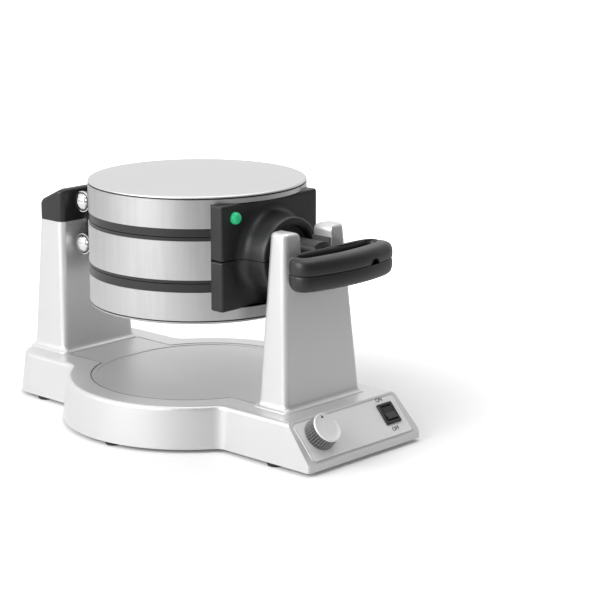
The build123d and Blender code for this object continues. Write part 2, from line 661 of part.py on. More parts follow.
def hinge_arm():
    """Black arm of a lid: two ears round the hinge pin, on a root against the lid band."""
    pin_z = AXIS_Z + PIN_UP
    root_z0 = AXIS_Z + BAND_UP
    root_z1 = AXIS_Z + EAR_ROOT_UP
    root_mid = (EAR_ROOT_X0 + EAR_ROOT_X1) / 2
    root = Pos(root_mid, (root_z0 + root_z1) / 2) * Rectangle(EAR_ROOT_X1 - EAR_ROOT_X0, root_z1 - root_z0)
    bar_mid = pin_z + (EAR_BAR_UP - EAR_BAR_DOWN) / 2
    bar = Pos((PIN_X + EAR_ROOT_X1) / 2, bar_mid) * Rectangle(EAR_ROOT_X1 - PIN_X, EAR_BAR_UP + EAR_BAR_DOWN)
    profile = Pos(PIN_X, pin_z) * Circle(KNUCKLE_R) + bar + root
    ear = Plane.XZ * extrude(profile, EAR_T)
    arm = Pos(0, -EAR_Y0, 0) * ear + Pos(0, EAR_Y1, 0) * ear
    arm += box(EAR_ROOT_X0, EAR_ROOT_X1, -EAR_Y1, EAR_Y1, root_z0, root_z1)
    arm -= rod_z(CASING_R + SEAT, 0, 400, 0, 0)
    return arm - rod_y(PIN_R + RUN, -60, 60, PIN_X, pin_z)


def hinge_pin():
    """Chromed pin with a collar and a domed head at both ends."""
    pin_z = AXIS_Z + PIN_UP
    y0 = EAR_Y1 + FREE
    pin = rod_y(PIN_R, -y0 - 0.5, y0 + 0.5, PIN_X, pin_z)
    for side in (-1, 1):
        near = side * y0
        far = side * (y0 + COLLAR_T)
        pin += rod_y(COLLAR_R, min(near, far), max(near, far), PIN_X, pin_z)
        ball_r = (DOME_R ** 2 + DOME_H ** 2) / (2 * DOME_H)
        ball = Pos(PIN_X, far + side * (DOME_H - ball_r), pin_z) * Sphere(ball_r)
        keep0 = min(far, far + side * (DOME_H + 1))
        keep1 = max(far, far + side * (DOME_H + 1))
        pin += ball & box(PIN_X - 20, PIN_X + 20, keep0, keep1, pin_z - 20, pin_z + 20)
    return pin


def hinge_bracket():
    """Black yoke behind the middle band: middle knuckle of both hinges and socket of the shaft."""
    up = Pos(PIN_X, AXIS_Z + PIN_UP) * Circle(KNUCKLE_R)
    down = Pos(PIN_X, AXIS_Z - PIN_UP) * Circle(KNUCKLE_R)
    web = Pos(PIN_X, AXIS_Z) * Rectangle(2 * KNUCKLE_R - 2, 2 * PIN_UP)
    root = Pos((PIN_X + EAR_ROOT_X1) / 2, AXIS_Z) * Rectangle(EAR_ROOT_X1 - PIN_X, 2 * (MID_HALF - 1))
    yoke = Plane.XZ * extrude(up + down + web + root, BARREL_HALF, both=True)
    yoke += rod_x(SHAFT_R + 4, BRACKET_REAR, SHAFT_FRONT + 6, 0, AXIS_Z)
    yoke -= rod_z(CASING_R + SEAT, 0, 400, 0, 0)
    yoke -= rod_x(SHAFT_R + SEAT, BRACKET_REAR - 1, SHAFT_FRONT, 0, AXIS_Z)
    for side in (-1, 1):
        yoke -= rod_y(PIN_R + RUN, -40, 40, PIN_X, AXIS_Z + side * PIN_UP)
    return yoke


def thermostat():
    z0 = AXIS_Z + LID_RIM_UP + CAVITY_UP + PLATE_T
    return rod_z(9.0, z0, z0 + 6.0, CAVITY_X, 0) + box(-14, 10, -4, 4, z0 + 1, z0 + 4)


def dial():
    """Browning dial: ribbed skirt and flat face, on its own stub shaft."""
    base = on_slope(DIAL_S, DIAL_Y, DIAL_TURN_GAP + PANEL_T - PANEL_POCKET)
    body = extrude(Circle(DIAL_R), DIAL_H)
    body = fillet(body.edges().filter_by(lambda e: e.center().Z > DIAL_H - 0.1), 1.0)
    body += extrude(Circle(DIAL_SKIRT_R), DIAL_SKIRT_H)
    groove = Pos(DIAL_R + 0.35, 0, DIAL_SKIRT_H) * extrude(Circle(0.75), DIAL_H - DIAL_SKIRT_H - 1.6)
    body -= [Rot(0, 0, 360 / DIAL_RIBS * i) * groove for i in range(DIAL_RIBS)]
    shaft = Pos(0, 0, -8) * extrude(Circle(DIAL_SHAFT_R), 9)
    return base * (body + shaft)


def dial_thermostat():
    """Control behind the panel that the dial turns."""
    top = -PANEL_POCKET - BASE_WALL
    plane = on_slope(DIAL_S, DIAL_Y, top - 12)
    body = plane * extrude(Rectangle(24, 20), 12)
    return body - on_slope(DIAL_S, DIAL_Y) * Cylinder(DIAL_SHAFT_R + RUN, 40)


def rocker_switch():
    """Switch frame and body, snapped into the panel."""
    top = PANEL_T - PANEL_POCKET
    plane = on_slope(ROCKER_S, ROCKER_Y)
    over = 2 * ROCKER_OVER
    rim = Pos(0, 0, top) * extrude(RectangleRounded(ROCKER_W + over, ROCKER_L + over, 1.0), ROCKER_RIM)
    body = Pos(0, 0, -ROCKER_DEPTH) * extrude(Rectangle(ROCKER_W, ROCKER_L), ROCKER_DEPTH + top + 0.1)
    frame = 2 * ROCKER_FRAME
    well = Pos(0, 0, -ROCKER_WELL) * extrude(Rectangle(ROCKER_W - frame, ROCKER_L - frame), 20)
    return plane * (rim + body - well)


def rocker():
    """Paddle of the switch: two faces that meet over its pivot, its ends arcs about the pivot."""
    half = ROCKER_L / 2 - ROCKER_FRAME - FREE
    width = ROCKER_W - 2 * ROCKER_FRAME - 2 * FREE
    top = PANEL_T - PANEL_POCKET + ROCKER_RIM - ROCKER_PIVOT
    slope = tan(radians(ROCKER_TILT / 2))
    reach = half + 1.0
    vee = Polyline((-reach, -ROCKER_UNDER), (-reach, top + reach * slope), (0, top),
                   (reach, top + reach * slope), (reach, -ROCKER_UNDER), close=True)
    profile = make_face(vee) & Circle(half)
    profile = Rot(0, 0, -ROCKER_TILT / 2) * profile
    body = extrude(Plane.YZ * profile, width / 2, both=True)
    return on_slope(ROCKER_S, ROCKER_Y, ROCKER_PIVOT) * body


def control_board():
    z0 = UNDERSIDE + COVER_T
    board = box(120, 170, -30, 30, z0 + 4, z0 + 4 + BOARD_T)
    for x in (125, 165):
        for y in (-25, 25):
            board += rod_z(2.5, z0, z0 + 4.1, x, y)
    board += box(128, 150, -18, -2, z0 + 4, z0 + 16)
    return board + rod_z(6, z0 + 4, z0 + 18, 152, 15)


def cord_gland():
    wall_x = BASE_REAR + (GLAND_Z - UNDERSIDE) * LEAN
    gland = rod_x(GLAND_R - 2.0 - SEAT, wall_x - 3, wall_x + BASE_WALL + 4, GLAND_Y, GLAND_Z)
    gland += rod_x(GLAND_R, wall_x + BASE_WALL + 1.4, wall_x + BASE_WALL + 4, GLAND_Y, GLAND_Z)
    return gland - rod_x(GLAND_BORE, wall_x - 10, wall_x + 20, GLAND_Y, GLAND_Z)


def all_parts():
    plate = lid_plate()
    lower = middle_lower_plate()
    arm = hinge_arm()
    pin = hinge_pin()
    cover = lid_cover()
    shield = lid_shield()
    lid_heater = heater(AXIS_Z + LID_RIM_UP + CAVITY_UP + PLATE_T + HEATER_TUBE_R)
    lid_band = band(AXIS_Z + BAND_UP, AXIS_Z + SEAM_UP, AXIS_Z + HOUSE_UP)
    low_band = band(AXIS_Z + BAND_UP, AXIS_Z + SEAM_UP, AXIS_Z + HOUSE_DOWN)
    handle = handle_half()
    lens = ready_lens()
    parts = {
        "base_shell": base_shell(),
        "bottom_cover": bottom_cover(),
        "rubber_feet": feet(),
        "cover_screws": cover_screws(),
        "tower_screws": tower_screws(),
        "drip_tray": drip_tray(),
        "front_tower": front_tower(),
        "fork_liner": fork_liner(),
        "rear_tower": rear_tower(),
        "rear_tower_cap": rear_cap(),
        "rear_bearing": rear_bearing(),
        "control_panel": control_panel(),
        "browning_dial": dial(),
        "dial_thermostat": dial_thermostat(),
        "rocker_switch": rocker_switch(),
        "rocker_paddle": rocker(),
        "control_board": control_board(),
        "cord_gland": cord_gland(),
        "middle_band": band(AXIS_Z - MID_HALF, AXIS_Z + MID_HALF, AXIS_Z + MID_HALF),
        "middle_upper_plate": flipped(lower),
        "middle_lower_plate": lower,
        "middle_heater": heater(AXIS_Z),
        "hinge_bracket": hinge_bracket(),
        "rotor_shaft": rotor_shaft(),
        "shaft_ring": shaft_ring(),
        "upper_hinge_pin": pin,
        "lower_hinge_pin": flipped(pin),
        "upper_lid_plate": plate,
        "upper_lid_band": lid_band,
        "upper_lid_cover": cover,
        "upper_heater": lid_heater,
        "upper_heat_shield": shield,
        "upper_thermostat": thermostat(),
        "upper_housing": upper_housing(),
        "upper_handle": handle,
        "upper_hinge_arm": arm,
        "ready_lens": lens,
        "lower_lid_plate": flipped(plate),
        "lower_lid_band": flipped(low_band),
        "lower_lid_cover": flipped(cover),
        "lower_heater": flipped(lid_heater),
        "lower_heat_shield": flipped(shield),
        "lower_housing": lower_housing(),
        "lower_handle": flipped(handle),
        "lower_hinge_arm": flipped(arm),
    }
    return parts


os.makedirs("parts", exist_ok=True)
machine = all_parts()
boxes = [solid.bounding_box() for solid in machine.values()]
centre = (min(b.min.X for b in boxes) + max(b.max.X for b in boxes)) / 2
print("shifted along X by", -centre, "width", max(b.max.Y for b in boxes) - min(b.min.Y for b in boxes),
      "height", max(b.max.Z for b in boxes))
for name, solid in machine.items():
    export_step(Pos(-centre, 0, 0) * solid, f"parts/{name}.step")
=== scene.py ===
from math import asin, cos, hypot, pi, radians, sin

import bmesh
import bpy
from mathutils import Matrix, Vector


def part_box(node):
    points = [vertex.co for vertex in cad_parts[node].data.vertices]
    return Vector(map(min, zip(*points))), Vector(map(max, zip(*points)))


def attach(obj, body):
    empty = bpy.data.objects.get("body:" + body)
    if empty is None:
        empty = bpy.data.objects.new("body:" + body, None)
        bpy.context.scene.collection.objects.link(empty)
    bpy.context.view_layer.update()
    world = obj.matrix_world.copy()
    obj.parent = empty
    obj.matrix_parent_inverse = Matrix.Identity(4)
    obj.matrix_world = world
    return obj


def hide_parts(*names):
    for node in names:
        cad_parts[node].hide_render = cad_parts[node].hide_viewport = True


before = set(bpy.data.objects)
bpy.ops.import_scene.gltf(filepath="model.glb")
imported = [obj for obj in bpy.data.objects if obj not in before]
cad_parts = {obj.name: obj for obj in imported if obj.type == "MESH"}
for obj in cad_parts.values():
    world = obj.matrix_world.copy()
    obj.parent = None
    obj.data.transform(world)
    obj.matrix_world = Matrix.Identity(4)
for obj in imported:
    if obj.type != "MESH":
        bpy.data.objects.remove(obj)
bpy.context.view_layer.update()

# Bottom cover and feet. The underside is a black moulded plate with a fine matt grain, screwed on from
# below, and the machine stands on six soft rubber feet pressed into it. A rubber gland sits in the rear
# wall.
MM = 0.001


def shader_group(name, inputs, outputs):
    tree = bpy.data.node_groups.new(name, "ShaderNodeTree")
    for label, kind, value in inputs:
        socket = tree.interface.new_socket(label, in_out="INPUT", socket_type=kind)
        socket.default_value = value
    for label, kind in outputs:
        tree.interface.new_socket(label, in_out="OUTPUT", socket_type=kind)
    return tree, tree.nodes.new("NodeGroupInput"), tree.nodes.new("NodeGroupOutput")


def moulded_grain():
    """Fine matt grain of a moulded part, with a slow cloudiness over the whole piece."""
    tree, enter, leave = shader_group(
        "moulded_grain",
        [("Grain Size", "NodeSocketFloat", 1.0), ("Cloud", "NodeSocketFloat", 0.3)],
        [("Tone", "NodeSocketFloat"), ("Height", "NodeSocketFloat")])
    nodes, links = tree.nodes, tree.links
    place = nodes.new("ShaderNodeTexCoord")
    scale = nodes.new("ShaderNodeMath")
    scale.operation = "DIVIDE"
    scale.inputs[0].default_value = 1000.0
    fine = nodes.new("ShaderNodeTexNoise")
    fine.inputs["Detail"].default_value = 3.0
    slow = nodes.new("ShaderNodeTexNoise")
    slow.inputs["Scale"].default_value = 22.0
    mix = nodes.new("ShaderNodeMix")
    links.new(enter.outputs["Grain Size"], scale.inputs[1])
    links.new(scale.outputs[0], fine.inputs["Scale"])
    links.new(place.outputs["Object"], fine.inputs["Vector"])
    links.new(place.outputs["Object"], slow.inputs["Vector"])
    links.new(enter.outputs["Cloud"], mix.inputs["Factor"])
    links.new(fine.outputs["Fac"], mix.inputs["A"])
    links.new(slow.outputs["Fac"], mix.inputs["B"])
    links.new(mix.outputs["Result"], leave.inputs["Tone"])
    links.new(fine.outputs["Fac"], leave.inputs["Height"])
    return tree


GRAIN = moulded_grain()


def surface(name, effect, settings, low, high, rough, metallic=0.0, bump=0.2, depth=0.1):
    """A material whose colour and roughness run between two values with the effect's tone."""
    material = bpy.data.materials.new(name)
    material.use_nodes = True
    nodes, links = material.node_tree.nodes, material.node_tree.links
    shader = nodes["Principled BSDF"]
    shader.inputs["Metallic"].default_value = metallic
    pattern = nodes.new("ShaderNodeGroup")
    pattern.node_tree = effect
    for label, value in settings.items():
        pattern.inputs[label].default_value = value
    colour = nodes.new("ShaderNodeMix")
    colour.data_type = "RGBA"
    colour.inputs["A"].default_value = (*low, 1.0)
    colour.inputs["B"].default_value = (*high, 1.0)
    gloss = nodes.new("ShaderNodeMapRange")
    gloss.inputs["To Min"].default_value = rough[0]
    gloss.inputs["To Max"].default_value = rough[1]
    relief = nodes.new("ShaderNodeBump")
    relief.inputs["Strength"].default_value = bump
    relief.inputs["Distance"].default_value = depth * MM
    links.new(pattern.outputs["Tone"], colour.inputs["Factor"])
    links.new(pattern.outputs["Tone"], gloss.inputs["Value"])
    links.new(pattern.outputs["Height"], relief.inputs["Height"])
    links.new(colour.outputs["Result"], shader.inputs["Base Color"])
    links.new(gloss.outputs["Result"], shader.inputs["Roughness"])
    links.new(relief.outputs["Normal"], shader.inputs["Normal"])
    return material


def dress(material, *names):
    """Gives the finish to pieces whose shape the frame already holds."""
    for name in names:
        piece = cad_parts[name]
        if not piece.material_slots:
            piece.data.materials.append(material)
        for place in piece.material_slots:
            place.material = material


BLACK_PLASTIC = surface("charcoal_plastic", GRAIN, {"Grain Size": 0.9, "Cloud": 0.35},
                        (0.012, 0.012, 0.013), (0.024, 0.024, 0.026), (0.33, 0.45))
RUBBER = surface("foot_rubber", GRAIN, {"Grain Size": 1.4, "Cloud": 0.5},
                 (0.012, 0.012, 0.012), (0.03, 0.03, 0.03), (0.7, 0.85))
dress(BLACK_PLASTIC, "bottom_cover")
dress(RUBBER, "cord_gland")


def loft(rings, closed=True, capped=True, into=None):
    """A skin over rings of points, each ring joined to the next; into adds it to another mesh."""
    mesh = into or bmesh.new()
    rows = [[mesh.verts.new(point) for point in ring] for ring in rings]
    for low, high in zip(rows, rows[1:]):
        count = len(low)
        for i in range(count if closed else count - 1):
            j = (i + 1) % count
            mesh.faces.new((low[i], low[j], high[j], high[i]))
    if capped:
        mesh.faces.new(rows[0][::-1])
        mesh.faces.new(rows[-1])
    return mesh


def piece_of(mesh, name, body, slot, material, *replaced, sharp=35):
    """Makes the finished object, shaded smooth up to an angle, and lets it ride on its body."""
    bmesh.ops.recalc_face_normals(mesh, faces=mesh.faces)
    skin = bpy.data.meshes.new(name)
    mesh.to_mesh(skin)
    mesh.free()
    skin.shade_smooth()
    skin.set_sharp_from_angle(angle=radians(sharp))
    skin.materials.append(material)
    made = bpy.data.objects.new(name, skin)
    bpy.context.scene.collection.objects.link(made)
    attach(made, body)
    if replaced:
        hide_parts(*replaced)
    return made


TOWER_BACK, TOWER_FLARE = 189.5, 3.5  # the rear tower's foot behind the casing's axis, and its flare, mm
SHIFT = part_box("rear_tower")[0].x / MM + TOWER_BACK + TOWER_FLARE   # the frame's x of the casing's axis


def at(x, y, z):
    """A point given from the casing's axis and the floor, in millimetres."""
    return ((x + SHIFT) * MM, y * MM, z * MM)


def round_angles(steps):
    """Evenly spaced angles of one full turn."""
    return [2 * pi * i / steps for i in range(steps)]


FOOT_PLACES = ((-147.0, 67.2), (14.0, 122.6), (166.0, 67.2))
FOOT_PROFILE = ((7.4, 0.0), (8.1, 0.3), (8.5, 1.0), (8.6, 2.4), (8.6, 3.4))
FOOT_STEPS = 40
feet = bmesh.new()
for foot_x, foot_y in FOOT_PLACES:
    for hand in (-1, 1):
        rings = []
        for r, z in FOOT_PROFILE:
            rings.append([at(foot_x + r * cos(a), hand * foot_y + r * sin(a), z)
                          for a in round_angles(FOOT_STEPS)])
        loft(rings, into=feet)
piece_of(feet, "soft_feet", "base", "rubber_black", RUBBER, "rubber_feet")

# Base shell. One moulded shell of a rear block, a round middle and a front block, in satin silver paint
# with a barely visible metallic fleck. The towers are screwed to its deck from below.
SATIN = surface("satin_silver", GRAIN, {"Grain Size": 0.7, "Cloud": 0.55},
                (0.70, 0.70, 0.702), (0.76, 0.76, 0.762), (0.34, 0.44), metallic=0.6, bump=0.04)
dress(SATIN, "base_shell")

# Drip tray. A shallow tray in a slightly darker silver, let into the deck between the towers. It lifts
# out, and a fine dark joint runs along both of its sides.
DECK = 42.5                           # height of the deck, mm
TRAY_SATIN = surface("tray_satin", GRAIN, {"Grain Size": 0.7, "Cloud": 0.55},
                     (0.60, 0.60, 0.60), (0.72, 0.72, 0.72), (0.38, 0.48), metallic=0.65, bump=0.05)
dress(TRAY_SATIN, "drip_tray")
GAP_DARK = surface("joint_shadow", GRAIN, {"Grain Size": 2.0, "Cloud": 0.5},
                   (0.03, 0.03, 0.03), (0.06, 0.06, 0.06), (0.6, 0.7), bump=0.0)
TRAY_R, TRAY_STRIP = 95.7, 46.2       # radius of the round middle, and half the width of the two ends
ROUND_OFF = 10.4                      # how far the centre of each round side lies from the middle line
JOINT_REAR, JOINT_FRONT = -137.0, 120.0
JOINT_HALF, JOINT_LIFT, JOINT_STEPS = 0.42, 0.06, 60
turn_from = asin((TRAY_STRIP - ROUND_OFF) / TRAY_R)
joint_lines = bmesh.new()
for hand in (-1, 1):
    edges = []
    for grow in (-JOINT_HALF, JOINT_HALF):
        edge = [(JOINT_REAR, TRAY_STRIP + grow)]
        for i in range(JOINT_STEPS + 1):
            a = pi - turn_from - (pi - 2 * turn_from) * i / JOINT_STEPS
            edge.append(((TRAY_R + grow) * cos(a), ROUND_OFF + (TRAY_R + grow) * sin(a)))
        edge.append((JOINT_FRONT, TRAY_STRIP + grow))
        edges.append([at(x, hand * y, DECK + JOINT_LIFT) for x, y in edge])
    loft(edges, closed=False, capped=False, into=joint_lines)
piece_of(joint_lines, "tray_joint_line", "base", "rubber_black", GAP_DARK)

# Bearings. The rear bearing of the shaft and the saddle liner of the fork are grey acetal, each let into
# its tower.
BUSH_PLASTIC = surface("bush_acetal", GRAIN, {"Grain Size": 0.8, "Cloud": 0.3},
                       (0.10, 0.10, 0.10), (0.16, 0.16, 0.16), (0.35, 0.45))
dress(BUSH_PLASTIC, "fork_liner", "rear_bearing")

# Rear tower. A tall tapered shell in the base's silver, with rounded corners and a foot that flares into
# the deck. It holds the bearing of the casing's shaft.
FLIP_Z = 171.3                        # height of the flip axis, mm
TOWER_ROUND = 6.5


def corner_ring(x0, x1, y0, y1, r, steps=8):
    """Points round a rectangle with rounded corners, in millimetres."""
    r = max(min(r, (x1 - x0) / 2 - 0.01, (y1 - y0) / 2 - 0.01), 0.01)
    centres = ((x1 - r, y1 - r, 0), (x0 + r, y1 - r, 90),
               (x0 + r, y0 + r, 180), (x1 - r, y0 + r, 270))
    points = []
    for cx, cy, start in centres:
        for i in range(steps + 1):
            a = radians(start + 90 * i / steps)
            points.append((cx + r * cos(a), cy + r * sin(a)))
    return points


def tower_ring(foot, top, height, z, spread=0.0, inset=0.0):
    """One level of a tapered tower; foot and top hold its rear, its front and half its width."""
    t = (z - DECK) / (height - DECK)
    x0, x1, half = (a + (b - a) * t for a, b in zip(foot, top))
    d = inset - spread
    return [at(x, y, z) for x, y in corner_ring(x0 + d, x1 - d, d - half, half - d, TOWER_ROUND - inset)]


FOOT_FLARE = ((0.0, TOWER_FLARE), (0.5, 3.4), (1.0, 2.9), (1.6, 2.0), (2.4, 1.2), (3.6, 0.55),
              (5.0, 0.15), (6.5, 0.0))
REAR_FOOT, REAR_TOP = (-TOWER_BACK, -142.0, 46.7), (-184.7, -150.3, 39.5)
rings = [tower_ring(REAR_FOOT, REAR_TOP, FLIP_Z, DECK + up, spread) for up, spread in FOOT_FLARE]
rings += [tower_ring(REAR_FOOT, REAR_TOP, FLIP_Z, z) for z in (80, 120, 160, FLIP_Z)]
piece_of(loft(rings), "rear_tower_shell", "base", "silver_satin", SATIN, "rear_tower")

# Front tower. The same silver shell with two prongs and a round-bottomed fork between them, in which the
# necks of the handles turn. Its top edges and the rims of the fork are rounded.
FRONT_FOOT, FRONT_TOP, FRONT_H = (125.5, 161.7, 50.2), (130.3, 150.7, 39.4), 201.0
TOP_ROUND, TOP_STEPS = 3.5, 6
rings = [tower_ring(FRONT_FOOT, FRONT_TOP, FRONT_H, DECK + up, spread) for up, spread in FOOT_FLARE]
rings += [tower_ring(FRONT_FOOT, FRONT_TOP, FRONT_H, z) for z in (90, 140, 180)]
for i in range(TOP_STEPS + 1):
    a = radians(90 * i / TOP_STEPS)
    level = FRONT_H - TOP_ROUND * (1 - sin(a))
    rings.append(tower_ring(FRONT_FOOT, FRONT_TOP, FRONT_H, level, 0.0, TOP_ROUND * (1 - cos(a))))
front_tower = loft(rings)

FORK_HALF, FORK_ROUND, FORK_RIM = 20.5, 6.0, 1.6
FORK_OPEN = FRONT_H + 8               # the cut ends clear of the prongs
fork = [(FORK_HALF * sin(radians(a)), FLIP_Z - FORK_HALF * cos(radians(a))) for a in range(-90, 91, 6)]
lip = [(FORK_HALF + FORK_ROUND * (1 - cos(radians(a))), FRONT_H - FORK_ROUND + FORK_ROUND * sin(radians(a)))
       for a in range(0, 91, 15)]
fork += lip + [(FORK_HALF + FORK_ROUND, FORK_OPEN), (-FORK_HALF - FORK_ROUND, FORK_OPEN)]
fork += [(-y, z) for y, z in lip[::-1]]


def cut_out(piece, cutter_mesh, rim=0.0):
    """Cuts a closed mesh out of a finished piece and, where asked, rounds the edges that it leaves."""
    bmesh.ops.recalc_face_normals(cutter_mesh, faces=cutter_mesh.faces)
    shape = bpy.data.meshes.new("cutter")
    cutter_mesh.to_mesh(shape)
    cutter_mesh.free()
    cutter = bpy.data.objects.new("cutter", shape)
    bpy.context.scene.collection.objects.link(cutter)
    cut = piece.modifiers.new("cut", "BOOLEAN")
    cut.object = cutter
    cut.solver = "EXACT"
    if rim:
        rounding = piece.modifiers.new("rounding", "BEVEL")
        rounding.width = rim * MM
        rounding.segments = 4
        rounding.limit_method = "ANGLE"
        rounding.angle_limit = radians(50)
    bpy.context.view_layer.update()
    shaped = bpy.data.meshes.new_from_object(piece.evaluated_get(bpy.context.evaluated_depsgraph_get()))
    piece.modifiers.clear()
    piece.data = shaped
    shaped.shade_smooth()
    shaped.set_sharp_from_angle(angle=radians(38))
    bpy.data.objects.remove(cutter)


tower = piece_of(front_tower, "front_tower_shell", "base", "silver_satin", SATIN, "front_tower")
cut_out(tower, loft([[at(x, y, z) for y, z in fork] for x in (110, 180)]), FORK_RIM)

# Rear cap. A black moulded cover on the rear tower, with rounded edges. Its back rises toward the casing
# in a bulging curve and is crowned across.
CAP_BACK, CAP_FRONT, CAP_HALF = REAR_TOP
CAP_LONG, CAP_LOW, CAP_RISE = 34.4, 15.5, 20.0
CAP_BULGE, CAP_CROWN, CROWN_POWER = 4.0, 4.6, 2.2
CAP_ROUND, CAP_STEPS = 3.0, 10


def cap_top(x, y):
    """Height of the cap's curved back over the flip axis."""
    t = min(max((x - CAP_BACK) / CAP_LONG, 0.0), 1.0)
    rise = CAP_LOW + CAP_RISE * t + CAP_BULGE * 4 * t * (1 - t)
    return rise - CAP_CROWN * t * abs(y / CAP_HALF) ** CROWN_POWER


def cap_ring(inset, drop):
    """The cap's outline drawn in by inset and lying drop below its back."""
    outline = corner_ring(CAP_BACK + inset, CAP_FRONT - inset, inset - CAP_HALF, CAP_HALF - inset,
                          TOWER_ROUND - inset, CAP_STEPS)
    return [at(x, y, FLIP_Z + cap_top(x, y) - drop) for x, y in outline]


cap_foot = corner_ring(CAP_BACK, CAP_FRONT, -CAP_HALF, CAP_HALF, TOWER_ROUND, CAP_STEPS)
cap_rings = [[at(x, y, FLIP_Z + 0.1) for x, y in cap_foot]]
for angle in range(0, 91, 15):
    a = radians(angle)
    cap_rings.append(cap_ring(CAP_ROUND * (1 - cos(a)), CAP_ROUND * (1 - sin(a))))
cap_rings += [cap_ring(inset, 0.0) for inset in (5.0, 8.0, 12.0, 16.0, 17.1)]
piece_of(loft(cap_rings), "rear_cap_shell", "base", "black_plastic", BLACK_PLASTIC, "rear_tower_cap")


# Control panel. A thin satin plate let into the slope, light grey, with a fine grey line printed round it
# just inside its edge, and black ON and OFF beside the switch.
def drawn_grain():
    """Straight fine lines of a brushed sheet, stretched by the piece's own scale, and slow clouds."""
    tree, enter, leave = shader_group(
        "drawn_grain",
        [("Stretch", "NodeSocketVector", (60.0, 60.0, 2400.0)), ("Cloud", "NodeSocketFloat", 0.3)],
        [("Tone", "NodeSocketFloat"), ("Height", "NodeSocketFloat")])
    nodes, links = tree.nodes, tree.links
    place = nodes.new("ShaderNodeTexCoord")
    stretch = nodes.new("ShaderNodeVectorMath")
    stretch.operation = "MULTIPLY"
    lines = nodes.new("ShaderNodeTexNoise")
    lines.inputs["Scale"].default_value = 1.0
    lines.inputs["Detail"].default_value = 4.0
    lines.inputs["Roughness"].default_value = 0.65
    slow = nodes.new("ShaderNodeTexNoise")
    slow.inputs["Scale"].default_value = 14.0
    spread = nodes.new("ShaderNodeMapRange")
    spread.inputs["From Min"].default_value = 0.3
    spread.inputs["From Max"].default_value = 0.7
    mix = nodes.new("ShaderNodeMix")
    links.new(place.outputs["Object"], stretch.inputs[0])
    links.new(enter.outputs["Stretch"], stretch.inputs[1])
    links.new(stretch.outputs["Vector"], lines.inputs["Vector"])
    links.new(place.outputs["Object"], slow.inputs["Vector"])
    links.new(lines.outputs["Fac"], spread.inputs["Value"])
    links.new(enter.outputs["Cloud"], mix.inputs["Factor"])
    links.new(spread.outputs["Result"], mix.inputs["A"])
    links.new(slow.outputs["Fac"], mix.inputs["B"])
    links.new(mix.outputs["Result"], leave.inputs["Tone"])
    links.new(spread.outputs["Result"], leave.inputs["Height"])
    return tree


BRUSHED = drawn_grain()
PANEL = surface("panel_satin", BRUSHED, {"Stretch": (1500.0, 40.0, 1500.0), "Cloud": 0.5},
                (0.90, 0.90, 0.90), (0.95, 0.95, 0.95), (0.40, 0.50), metallic=0.1, bump=0.03)
dress(PANEL, "control_panel")
PRINT = surface("black_print", GRAIN, {"Grain Size": 2.0, "Cloud": 0.5},
                (0.01, 0.01, 0.01), (0.02, 0.02, 0.02), (0.4, 0.5), bump=0.0)
LINE_GREY = surface("line_grey", GRAIN, {"Grain Size": 2.0, "Cloud": 0.5},
                    (0.34, 0.34, 0.34), (0.40, 0.40, 0.40), (0.4, 0.5), bump=0.0)
SLOPE_START, SLOPE_END, SLOPE_FOOT = 183.0, 212.883, 9.0
SLOPE_LONG, PLATE_OUT = 44.89, 0.8
SLOPE_TOP = Vector((SLOPE_START, 0.0, DECK))
SLOPE_DOWN = Vector((SLOPE_END - SLOPE_START, 0.0, SLOPE_FOOT - DECK)).normalized()
SLOPE_OUT = Vector((-SLOPE_DOWN.z, 0.0, SLOPE_DOWN.x))


def on_slope(s, y, out):
    """A point s down the sloped face, y across and out from it, millimetres."""
    spot = SLOPE_TOP + SLOPE_DOWN * s + SLOPE_OUT * out
    return at(spot.x, y, spot.z)


def slope_ring(half_s, half_y, r, s, y, out, steps=6):
    """A rounded rectangle on the sloped face about the point s, y."""
    return [on_slope(s + a, y + b, out) for a, b in corner_ring(-half_s, half_s, -half_y, half_y, r, steps)]


BORDER = ((20.3, 66.5, 3.0), (19.9, 66.1, 2.6))   # half length, half width and corner of its two edges
border = [slope_ring(*edge, SLOPE_LONG / 2, 0, PLATE_OUT + 0.04) for edge in BORDER]
piece_of(loft(border, capped=False), "panel_border_line", "base", "switch_black", LINE_GREY)
LETTER_SIZE, LETTER_WEIGHT = 5.4, 0.12


def printed(words, s, y):
    """Flat lettering on the panel, read from the front."""
    text = bpy.data.curves.new("print_" + words, "FONT")
    text.body = words
    text.size = LETTER_SIZE * MM
    text.align_x = text.align_y = "CENTER"
    text.offset = LETTER_WEIGHT * MM
    text.materials.append(PRINT)
    sign = bpy.data.objects.new("print_" + words, text)
    bpy.context.scene.collection.objects.link(sign)
    sign.location = on_slope(s, y, PLATE_OUT + 0.05)
    across, up = Vector((0, 1, 0)), -SLOPE_DOWN
    sign.rotation_euler = Matrix((across, up, SLOPE_OUT)).transposed().to_euler()
    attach(sign, "base")


printed("ON", 4.6, 46.5)
printed("OFF", 35.4, 47.0)

# Browning dial. A satin metallised knob with a darker skirt in straight knurling and a pale, slightly
# dished face, on which a small black pointer is printed. It turns on the thermostat's spindle.
DIAL = surface("dial_satin", GRAIN, {"Grain Size": 0.7, "Cloud": 0.3},
               (0.86, 0.86, 0.86), (0.92, 0.92, 0.92), (0.3, 0.4), metallic=0.1, bump=0.02)
DIAL_SIDE = surface("dial_side", GRAIN, {"Grain Size": 0.7, "Cloud": 0.3},
                    (0.26, 0.26, 0.26), (0.32, 0.32, 0.32), (0.22, 0.32), metallic=0.85, bump=0.02)
DIAL_S, DIAL_Y, DIAL_R, DIAL_UP = 19.4, -45.0, 14.3, 14.5
DIAL_GAP, RIM_UP, FACE_UP = 0.4, DIAL_UP - 1.5, DIAL_UP - 0.25
FLUTES, FLUTE_DEEP, PER_FLUTE = 34, 1.4, 8


